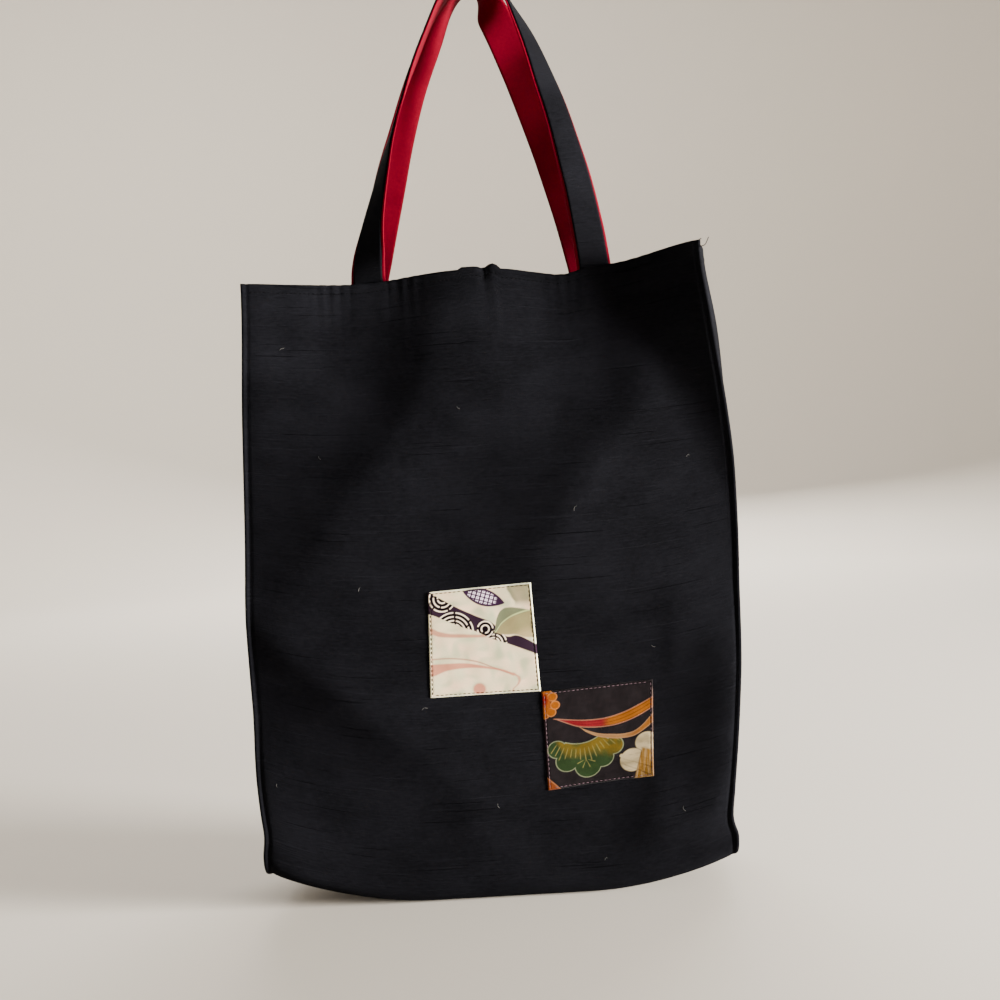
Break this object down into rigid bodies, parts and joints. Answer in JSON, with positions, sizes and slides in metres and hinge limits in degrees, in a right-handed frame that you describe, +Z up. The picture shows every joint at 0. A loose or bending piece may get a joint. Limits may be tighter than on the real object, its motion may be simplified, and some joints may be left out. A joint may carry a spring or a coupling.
{
  "type": "tote bag",
  "caption": "Lined cloth tote bag with side gussets, a drawn-in open mouth, looped two-ply shoulder handles and patterned silk patches sewn on its front.",
  "frame": {"origin": "middle of the bag on the surface that its base rests on", "axes": "+Z up from the base to the handles, +X to the bag's right as seen from its front, front face towards -Y"},
  "size_m": [0.326, 0.103, 0.6289],
  "materials": {
    "black_silk": "slubbed raw silk, low sheen",
    "red_cotton": "plain woven cotton, matte",
    "cream_silk": "printed silk, matte",
    "dark_silk": "printed silk, matte"
  },
  "bodies": {
    "bag": {"front_panel": "black_silk", "back_panel": "black_silk", "left_gusset": "black_silk", "right_gusset": "black_silk", "front_lining": "red_cotton", "back_lining": "red_cotton", "left_gusset_lining": "red_cotton", "right_gusset_lining": "red_cotton", "front_handle_left_end_outer": "black_silk", "front_handle_left_end_lining": "red_cotton", "front_handle_right_end_outer": "black_silk", "front_handle_right_end_lining": "red_cotton", "back_handle_left_end_outer": "black_silk", "back_handle_left_end_lining": "red_cotton", "back_handle_right_end_outer": "black_silk", "back_handle_right_end_lining": "red_cotton", "cream_patch": "cream_silk", "dark_patch": "dark_silk"},
    "front_handle": {"front_handle_outer": "black_silk", "front_handle_lining": "red_cotton"},
    "back_handle": {"back_handle_outer": "black_silk", "back_handle_lining": "red_cotton"}
  },
  "joints": [
    {"name": "front_handle_swing", "type": "hinge", "parent": "bag", "child": "front_handle", "pos_m": [0, -0.0265, 0.4165], "axis": [1, 0, 0], "range_deg": [0, 165]},
    {"name": "back_handle_swing", "type": "hinge", "parent": "bag", "child": "back_handle", "pos_m": [0, 0.0265, 0.4165], "axis": [1, 0, 0], "range_deg": [-165, 0]}
  ]
}
